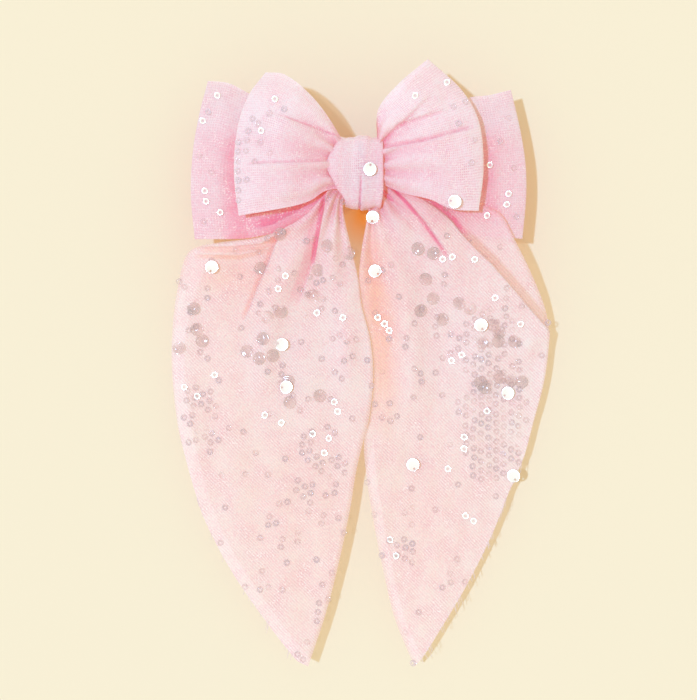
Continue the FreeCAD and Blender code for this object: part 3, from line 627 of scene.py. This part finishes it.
def build_knot():
    """The strip wrapped round the waist, its folds running round it and its side edges tucked in."""
    rows, cols = 220, 90
    s = np.linspace(-1, 1, cols)[None, :] + np.zeros((rows, 1))
    middle_y = (KNOT_LOW.y + KNOT_HIGH.y) / 2 / MM
    half_y = (KNOT_HIGH.y - KNOT_LOW.y) / 2 / MM
    half_z = (KNOT_HIGH.z - KNOT_LOW.z) / 2 / MM

    def section(turn):
        """How far up and how far back the band is, from -1 to 1, at a turn about its middle."""
        return blunt(np.sin(turn), 0.6), blunt(np.cos(turn), 0.75)

    turns = np.linspace(0, 2 * math.pi, 4001)
    rises, backs = section(turns)
    girth = np.concatenate([[0], np.cumsum(np.hypot(np.diff(rises) * half_z, np.diff(backs) * half_y))])
    steps = np.linspace(0, girth[-1], rows, endpoint=False)
    angle = np.interp(steps, girth, turns)[:, None] + np.zeros(cols)
    up, back = section(angle)
    outward = np.minimum(np.abs(s) / 0.8, 1)
    tuck = np.maximum(np.abs(s) - 0.8, 0) / 0.2
    height = up * half_z
    left_edge = -8.6 - 5.4 * np.exp(-((height - 4) / 8.5) ** 2) + 2.4 * smooth((-height - 6) / 8)
    right_edge = 9.6 - 0.9 * smooth((-height - 6) / 12)
    edge = np.where(s < 0, left_edge, right_edge)
    x = edge * outward * (1 - 0.06 * tuck)
    roll = 1 - 0.05 * outward ** 6 - 0.12 * smooth(tuck)
    folds = 0.03 * np.sin(x * 0.55 + 1.2 + 0.5 * np.sin(angle * 2)) + 0.008 * np.sin(x * 1.7 + angle * 1.5)
    split = np.exp(-((x - 0.4 - 0.04 * height) / 0.5) ** 2) * smooth((3 - height) / 8)
    folds = folds + 0.035 * np.exp(-((x - 8.0) / 1.3) ** 2) - 0.05 * split
    size = roll + folds * (1 - smooth(tuck)) - 0.035
    y = middle_y + back * half_y * size
    z = height * size * (1 - 0.1 * (up < 0) * up ** 2)
    # Painted shade: pinker in the split between the folds, at the tucked side edges and low on the knot.
    shade_and_gather = 0.05 + 0.55 * split + 0.3 * outward ** 12 + 0.2 * smooth((-height - 9) / 8)
    around = steps[:, None] + np.zeros(cols)
    piece = grid_mesh("knot_cloth", x, y, z, around, s * 22, (shade_and_gather, 0, 0), closed=True)
    finish_piece(piece, LOOP_CLOTH)
    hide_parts("knot_wrap")
    front = (y < middle_y).all(axis=1)
    return piece, Surface(x[front], y[front], z[front])


# ---------------------------------------------------------------- sequins

def ring_profile(radius, hole, dish, turns, offset):
    """Vertices and faces of a thin cupped disc with a hole and rounded rims, facing +Z, in mm."""
    thick = 0.16
    section = [(hole, 0.0), (hole + 0.07, thick / 2), (radius * 0.8, thick / 2 + dish * 0.55),
               (radius - 0.12, thick / 2 + dish), (radius, dish), (radius - 0.12, dish - thick / 2),
               (radius * 0.8, dish * 0.55 - thick / 2), (hole + 0.07, -thick / 2)]
    verts, faces = [], []
    for step in range(turns):
        angle = 2 * math.pi * step / turns
        for size, height in section:
            shift = offset * (1 - min(1, (size - hole) / (radius - hole)))
            verts.append((size * math.cos(angle) + shift, size * math.sin(angle), height))
    count = len(section)
    for step in range(turns):
        for part in range(count):
            after = (step + 1) % turns
            part_after = (part + 1) % count
            faces.append((step * count + part, after * count + part, after * count + part_after,
                          step * count + part_after))
    return np.array(verts), faces


SMALL_RING = ring_profile(1.36, 0.52, 0.2, 20, 0.0)
LARGE_DISC = ring_profile(2.75, 0.42, 0.3, 36, 1.8)


def sew(name, profile, spots, body, nodes, material):
    """One piece made of many sequins. Each spot is a place in mm, a facing direction and a spin."""
    shape, shape_faces = profile
    verts, faces = [], []
    for place, facing, spin in spots:
        start = len(verts)
        turn = facing.to_track_quat("Z", "Y").to_matrix() @ Matrix.Rotation(spin, 3, "Z")
        moved = shape @ np.array(turn).T + np.array(place)
        verts.extend((moved * MM).tolist())
        faces.extend([tuple(start + corner for corner in face) for face in shape_faces])
    piece = mesh_piece(name, verts, faces)
    if body in TAILS:
        finish_piece(piece, material, None)
        bend_with(piece)
    else:
        finish_piece(piece, material, body)
    if nodes:
        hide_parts(*nodes)


def spot_on(surface, x, z, lift, tilt, facing=None):
    """A place just off the cloth, tilted a little at random or turned to face a given way."""
    place, normal, far = surface.nearest(x, z)
    wobble = Vector([RANDOM.gauss(0, tilt) for _ in range(3)])
    spin = RANDOM.uniform(0, 2 * math.pi)
    aim = facing
    if facing is None:
        aim = (normal * 0.6 + Vector((0, -0.4, 0)) + wobble).normalized()
    return (place + normal * lift, aim, spin), far


def scatter(surface, clusters, base, pitch, slant):
    """Slanting rows of sewn ring sequins, dense inside the clusters and sparse elsewhere."""
    spots = []
    for row in range(-60, 61):
        for step in range(-60, 61):
            across = (step + (row % 2) * 0.5) * pitch
            down = row * pitch * 0.95
            x = across * math.cos(slant) - down * math.sin(slant) + RANDOM.gauss(0, 0.12)
            z = -100 + across * math.sin(slant) + down * math.cos(slant) + RANDOM.gauss(0, 0.12)
            density = base
            for middle_x, middle_z, wide, high, much in clusters:
                far_out = math.hypot((x - middle_x) / wide, (z - middle_z) / high)
                density = max(density, much * (1 - max(0.0, far_out - 0.7) / 0.4))
            if RANDOM.random() < density:
                spot, far = spot_on(surface, x, z, 0.3, 0.09)
                if far < 0.7:
                    spots.append(spot)
    return spots


# Bright sequins face halfway between the viewer and the key light.
SUN_TRAVEL = Vector((0.31, 1.0, -0.04)).normalized()
TO_CAMERA = Vector((0, -1, 0))
GLINT = (TO_CAMERA - SUN_TRAVEL).normalized()


# ---------------------------------------------------------------- build everything

loops = {name: build_loop(name, shape) for name, shape in LOOPS.items()}
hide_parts("front_loops")
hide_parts("back_loops")
tails = {name: build_tail(name, shape) for name, shape in TAILS.items()}
for name, (piece, _) in tails.items():
    bend_with(piece)
    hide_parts(name)
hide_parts("tail_gather")
knot, knot_surface = build_knot()

# Dense patches of ring sequins: middle x and z, half width and height, and how full.
SMALL_CLUSTERS = {
    "left_tail": [(-7.6, -73, 10, 9, 0.75), (-17, -123, 14, 22, 0.6), (-67, -103, 9, 17, 0.6),
                  (-12, -45, 9, 14, 0.35)],
    "right_tail": [(56, -100, 16, 32, 1.0), (56, -66, 18, 12, 0.6), (17.6, -157.5, 7, 8, 0.8),
                   (8, -120, 6, 6, 0.4), (40, -78, 8, 6, 0.5)],
}
# Where the other sequins lie on each cloth.
BRIGHT_RINGS = {
    "left_tail": [
        (-31, -42), (-34, -47), (-18, -57), (-7, -59), (-61, -83), (-74, -88.5), (-68.5, -92), (-40, -100),
        (-33, -103.5), (-9, -98.5), (-20, -108), (-13, -110), (-15, -116), (-11, -94.5)],
    "right_tail": [
        (52.5, -17), (34, -35), (38, -34.5), (47.5, -35), (7.5, -59), (10.5, -61.5), (12.5, -64.5),
        (56, -51), (67.5, -62), (43, -74.5), (38.5, -77), (53.5, -98.5), (44, -109.5), (44, -114.5),
        (37, -123), (12.5, -152.5), (15.5, -159.5), (44.5, -142.5), (48, -144.5)],
    "front_left_loop": [(-35, 30), (-40.5, 17)],
    "front_right_loop": [(35.5, 37), (22.5, 31)],
    "back_left_loop": [(-59.5, 33.5), (-65.5, 22.5), (-64.5, -6.5), (-64, -10.5), (-58, -15.5)],
    "back_right_loop": [(54, 4), (61.5, -7.5), (61, -12)],
}
CLEAR_RINGS = {
    "front_left_loop": [(-50, 3.9 * step - 11) for step in range(7)] + [
        (-44, 22), (-37, 24), (-31, 25.5), (-46, 17), (-46.5, 13), (-47, 9), (-42, 20), (-43, 4),
        (-46.5, -3), (-37, 8), (-41, 12)],
    "front_right_loop": [(40, 20), (45.5, 4), (43, 29), (38, 27), (47, 13)],
    "back_left_loop": [(-67, 8), (-63, 26), (-62, 1), (-65, -19)],
    "back_right_loop": [(62, 24), (58, 14), (64, 3), (57, -20), (65, -17)],
}
CLEAR_DISCS = {
    "left_tail": [
        (-33, -25), (-13.5, -30), (-4.8, -32.5), (-41.5, -38.5), (-17.5, -39.5), (-33, -56.5), (-39, -59),
        (-19.5, -50), (-70, -55), (-68.5, -64), (-66.5, -69), (-76, -72), (-40.5, -68), (-47.5, -73),
        (-42, -76.5), (-37, -75), (-30.5, -86), (-17, -92), (-29.5, -95)],
    "right_tail": [
        (24, -30.5), (30.5, -32.5), (27.5, -43), (30.5, -51), (41.5, -53), (46, -55), (25.5, -56),
        (34.5, -59.5), (55.5, -62), (58.5, -65), (51, -69.5), (58, -69), (65, -69), (51, -86), (52.5, -88.5),
        (58.5, -84), (63.5, -85), (68, -86)],
}
BRIGHT_DISCS = {
    "left_tail": [(-61.7, -37.8), (-33.6, -70.6), (-30.7, -88)],
    "right_tail": [(50.4, -62), (62, -90.7), (22, -121), (64.7, -125.5), (6.8, -39.5), (6.3, -17.6)],
    "front_right_loop": [(38.6, -11.8)],
    "knot": [(3.9, 1.6)],
}
SURFACES = {"knot": knot_surface}
SURFACES.update({name: surface for name, (_, surface) in {**loops, **tails}.items()})


def spots_at(places, lift, tilt, facing=None):
    """Sewing spots for each cloth's list of front-view places."""
    return {name: [spot_on(SURFACES[name], x, z, lift, tilt, facing)[0] for x, z in listed]
            for name, listed in places.items()}


def gathered(spots, names):
    return [spot for name in names for spot in spots.get(name, [])]


clear_rings = spots_at(CLEAR_RINGS, 0.3, 0.08)
bright_rings = spots_at(BRIGHT_RINGS, 0.35, 0.0, GLINT)
clear_discs = spots_at(CLEAR_DISCS, 0.4, 0.08)
bright_discs = spots_at(BRIGHT_DISCS, 1.3, 0.0, GLINT)


def sew_rings(name, spots, body, nodes, material):
    sew(name, SMALL_RING, spots, body, nodes, material)


def sew_discs(name, spots, body, nodes, material):
    sew(name, LARGE_DISC, spots, body, nodes, material)


for name, slant in (("left_tail", 20), ("right_tail", -28)):
    small = scatter(SURFACES[name], SMALL_CLUSTERS[name], 0.1, 3.6, math.radians(slant))
    sew_rings(name + "_rings", small, name, [name + "_small_sequins"], CLEAR_RING)
    sew_rings(name + "_bright_rings", bright_rings[name], name, [], PAINTED_GLINT_SEQUIN)
    sew_discs(name + "_discs", clear_discs[name], name, [name + "_large_sequins"], CLEAR_DISC)
    sew_discs(name + "_bright_discs", bright_discs[name], name, [], PAINTED_GLINT_SEQUIN)
for layer in ("front", "back"):
    sides = (layer + "_left_loop", layer + "_right_loop")
    sew_rings(layer + "_loop_rings", gathered(clear_rings, sides), "bow",
              [layer + "_loop_small_sequins"], PALE_RING)
    sew_rings(layer + "_loop_bright_rings", gathered(bright_rings, sides), "bow", [], PAINTED_GLINT_SEQUIN)
sew_discs("front_loop_discs", bright_discs["front_right_loop"], "bow", ["front_loop_large_sequins"], PAINTED_GLINT_SEQUIN)
sew_discs("knot_discs", bright_discs["knot"], "bow", ["knot_sequins"], PAINTED_GLINT_SEQUIN)


# ---------------------------------------------------------------- thread, felt and loose ends

def cross_ways(path):
    """Two directions at right angles to a path and to each other, at each of its points."""
    ways = np.gradient(path, axis=0)
    ways /= np.linalg.norm(ways, axis=1, keepdims=True)
    side = np.cross(ways, (0.31, 0.52, 0.79))
    side /= np.linalg.norm(side, axis=1, keepdims=True)
    return side, np.cross(ways, side)


def tube(verts, faces, path, radius, sides=6):
    """A round strand along a path given in mm, added to the lists."""
    path = np.array(path, float)
    start = len(verts)
    for place, first, second in zip(path, *cross_ways(path)):
        for step in range(sides):
            angle = 2 * math.pi * step / sides
            out = math.cos(angle) * first + math.sin(angle) * second
            verts.append(tuple((place + radius * out) * MM))
    for ring in range(len(path) - 1):
        for step in range(sides):
            low, high = start + ring * sides, start + (ring + 1) * sides
            after = (step + 1) % sides
            faces.append((low + step, low + after, high + after, high + step))
    faces.append(tuple(start + step for step in range(sides))[::-1])
    faces.append(tuple(start + (len(path) - 1) * sides + step for step in range(sides)))


def twisted_thread(name, paths, radius, node):
    """Two-ply sewing thread along each path, its strands twisted round each other."""
    verts, faces = [], []
    for path in paths:
        length = sum(math.dist(first, second) for first, second in zip(path[:-1], path[1:]))
        steps = int(length / 0.22)
        middle = along(path, np.linspace(0, 1, steps))
        side, other = cross_ways(middle)
        turn = np.linspace(0, length / 1.5 * 2 * math.pi, steps)[:, None]
        for half in (0, math.pi):
            strand = middle + radius * 0.5 * (np.cos(turn + half) * side + np.sin(turn + half) * other)
            tube(verts, faces, strand, radius * 0.5)
    piece = mesh_piece(name, verts, faces)
    finish_piece(piece, THREAD)
    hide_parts(node)


def build_gathering_thread():
    """Three turns round the stacked waists."""
    low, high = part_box("gathering_thread")
    radius = 0.33
    front, rear = low.y / MM + radius, high.y / MM - radius
    top = high.z / MM - radius
    corner = 0.5
    turn = [(front, -top + corner), (front, top - corner), (front + corner, top), (rear - corner, top),
            (rear, top - corner), (rear, -top + corner), (rear - corner, -top), (front + corner, -top)]
    path = []
    for lap in range(3):
        for step, (y, z) in enumerate(turn):
            path.append((-0.8 + 0.72 * (lap + step / len(turn)), y, z))
    twisted_thread("gathering_threads", [path], radius, "gathering_thread")


def build_stitches():
    """Four stitches that hold the barrette's base to the felt."""
    low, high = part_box("base_stitches")
    radius = 0.3
    outer, inner = high.x / MM - radius, high.x / MM - 4.0
    sunk, raised = low.y / MM + 0.1, high.y / MM - radius
    across = high.z / MM - 0.35
    paths = []
    for side in (-1, 1):
        for up in (-across, across):
            paths.append([(side * inner, sunk, up), (side * inner, raised - 0.35, up),
                          (side * (inner + 0.4), raised, up), (side * (outer - 0.4), raised, up + 0.1),
                          (side * outer, raised - 0.35, up), (side * outer, sunk, up)])
    twisted_thread("sewn_stitches", paths, radius, "base_stitches")


def build_felt():
    """A slightly fuzzy felt pad with soft, rounded edges."""
    low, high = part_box("felt_pad")
    centre, half = (low + high) / 2 / MM, (high - low) / 2 / MM
    rows, cols = 260, 60
    angle = np.linspace(0, 2 * math.pi, rows, endpoint=False)[:, None] + np.zeros(cols)
    tilt = np.linspace(-math.pi / 2, math.pi / 2, cols)[None, :] + np.zeros((rows, 1))
    reach = blunt(np.cos(tilt), 0.3)
    x = half.x * reach * blunt(np.cos(angle), 0.22)
    z = half.z * reach * blunt(np.sin(angle), 0.35)
    fuzz = 0.1 * ripple(x * 9, z * 9, 9) + 0.05 * ripple(x * 31, z * 31, 4)
    y = half.y * blunt(np.sin(tilt), 0.3) * 0.94 + fuzz * np.abs(np.sin(tilt))
    size = 1 + 0.008 * ripple(angle * 55, tilt * 20, 3)
    piece = grid_mesh("felt", centre.x + x * size, centre.y + y, centre.z + z * size, angle * 8, tilt * 4,
                      (0, 0, 0), closed=True)
    finish_piece(piece, FELT)
    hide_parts("felt_pad")


def build_fray(name, surface, count):
    """Loose thread ends along the cut edge of a tail."""
    verts, faces = [], []
    for _ in range(count):
        share = RANDOM.uniform(0.03, 0.97)
        column = int(share * (surface.x.shape[1] - 1))
        start = np.array((surface.x[-2, column], surface.y[-2, column], surface.z[-2, column]))
        inner = np.array((surface.x[-12, column], surface.y[-12, column], surface.z[-12, column]))
        out = (start - inner) / np.linalg.norm(start - inner)
        curl = np.array([RANDOM.gauss(0, 1), RANDOM.gauss(-0.3, 0.3), RANDOM.gauss(0, 1)])
        length = RANDOM.uniform(1.2, 4.5)
        path = [start - out * 0.6 + out * length * step / 7 + curl * 0.09 * length * (step / 7) ** 2
                for step in range(8)]
        tube(verts, faces, path, 0.09, 4)
    piece = mesh_piece(name + "_loose_threads", verts, faces)
    finish_piece(piece, FRAY, None)
    bend_with(piece)
    return piece


build_gathering_thread()
build_stitches()
build_felt()
fray = {
    "left_tail": build_fray("left_tail", SURFACES["left_tail"], 22),
    "right_tail": build_fray("right_tail", SURFACES["right_tail"], 60),
}

METALS = {
    "barrette_base": NICKEL, "hinge_pin": NICKEL, "clasp_arm": NICKEL,
    "catch_prong_upper": NICKEL, "catch_prong_lower": NICKEL, "tension_bar": SPRING,
}
for node, material in METALS.items():
    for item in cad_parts[node].material_slots:
        item.material = material


# ---------------------------------------------------------------- stage

def build_stage():
    """A cream backdrop close behind the bow, with painted orange shade on a patch behind the gap under the
    knot, standing for light through the pink folds, and clear from behind, so the clip can be seen."""
    size, depth = 1.6, 0.0078
    corners = [(-size, depth, -size), (size, depth, -size), (size, depth, size), (-size, depth, size)]
    backdrop = mesh_piece("backdrop", corners, [(0, 1, 2, 3)])
    material, tree, shader = new_material("cream_paper", (0.80, 0.735, 0.56), 0.85)
    paper = mix_colours(tree, noise(tree, 5.0, 3.0), (0.805, 0.74, 0.555), (0.79, 0.735, 0.565))
    # Painted shade: an orange glow mixed into the paper in an ellipse behind the gap under the knot.
    place = tree.nodes.new("ShaderNodeTexCoord")
    gap_shade_place = add_node(tree, "ShaderNodeMapping", Location=(-0.2, 0.0, 1.0), Scale=(100.0, 0.0, 72.0))
    far = add_node(tree, "ShaderNodeVectorMath", operation="LENGTH")
    tree.links.new(place.outputs["Object"], gap_shade_place.inputs[0])
    tree.links.new(gap_shade_place.outputs[0], far.inputs[0])
    tint = math_node(tree, "MAXIMUM", scaled(tree, far.outputs["Value"], -1.1, 1.25), 0.0)
    tint = math_node(tree, "MINIMUM", tint, 1.0)
    tree.links.new(mix_colours(tree, tint, paper, (0.92, 0.50, 0.13)), shader.inputs["Base Color"])
    behind = tree.nodes.new("ShaderNodeNewGeometry")
    path = tree.nodes.new("ShaderNodeLightPath")
    unseen = math_node(tree, "MAXIMUM", path.outputs["Is Shadow Ray"], path.outputs["Is Glossy Ray"])
    share = math_node(tree, "MAXIMUM", behind.outputs["Backfacing"], unseen)
    clear = tree.nodes.new("ShaderNodeBsdfTransparent")
    both = mix_shaders(tree, share, shader.outputs[0], clear.outputs[0])
    tree.links.new(both, tree.nodes["Material Output"].inputs["Surface"])
    backdrop.data.materials.append(material)


def add_sun(name, travel, strength, colour, spread):
    light = bpy.data.lights.new(name, "SUN")
    light.energy = strength
    light.color = colour
    light.angle = math.radians(spread)
    lamp = bpy.data.objects.new(name, light)
    lamp.rotation_euler = travel.to_track_quat("-Z", "Y").to_euler()
    bpy.context.collection.objects.link(lamp)


def add_softbox(name, place, size, strength):
    """A tall soft light behind the bow, for the metal clip."""
    light = bpy.data.lights.new(name, "AREA")
    light.shape = "RECTANGLE"
    light.size, light.size_y = size
    light.energy = strength
    lamp = bpy.data.objects.new(name, light)
    lamp.location = place
    lamp.rotation_euler = (-Vector(place)).to_track_quat("-Z", "Y").to_euler()
    bpy.context.collection.objects.link(lamp)


def build_lights():
    add_sun("key", SUN_TRAVEL, 2.05, (0.43, 0.65, 1.0), 2.0)
    add_sun("rear", Vector((0.3, -1.0, -0.4)), 0.25, (1.0, 0.97, 0.92), 25.0)
    for side, strength in ((-1, 1.4), (1, 0.9)):
        add_softbox("rear_softbox", (0.55 * side, 0.75, 0.25), (0.25, 0.9), strength)
    world = bpy.data.worlds.new("studio")
    world.use_nodes = True
    background = world.node_tree.nodes["Background"]
    background.inputs["Color"].default_value = (0.78, 0.66, 0.48, 1)
    background.inputs["Strength"].default_value = 1.17
    bpy.context.scene.world = world


def build_camera():
    """Straight on from the front, the picture 293 mm wide at the depth of the cloth."""
    lens, sensor, picture_width = 100.0, 36.0, 0.2927
    camera = bpy.data.cameras.new("camera")
    camera.lens = lens
    camera.sensor_width = sensor
    camera.clip_end = 20
    holder = bpy.data.objects.new("camera", camera)
    holder.location = (-0.0048, -0.012 - picture_width * lens / sensor, -0.0727)
    holder.rotation_euler = (math.pi / 2, 0, 0)
    bpy.context.collection.objects.link(holder)
    bpy.context.scene.camera = holder


build_stage()
build_lights()
build_camera()
bpy.context.scene.view_settings.view_transform = "Standard"
bpy.context.scene.cycles.transparent_max_bounces = 32
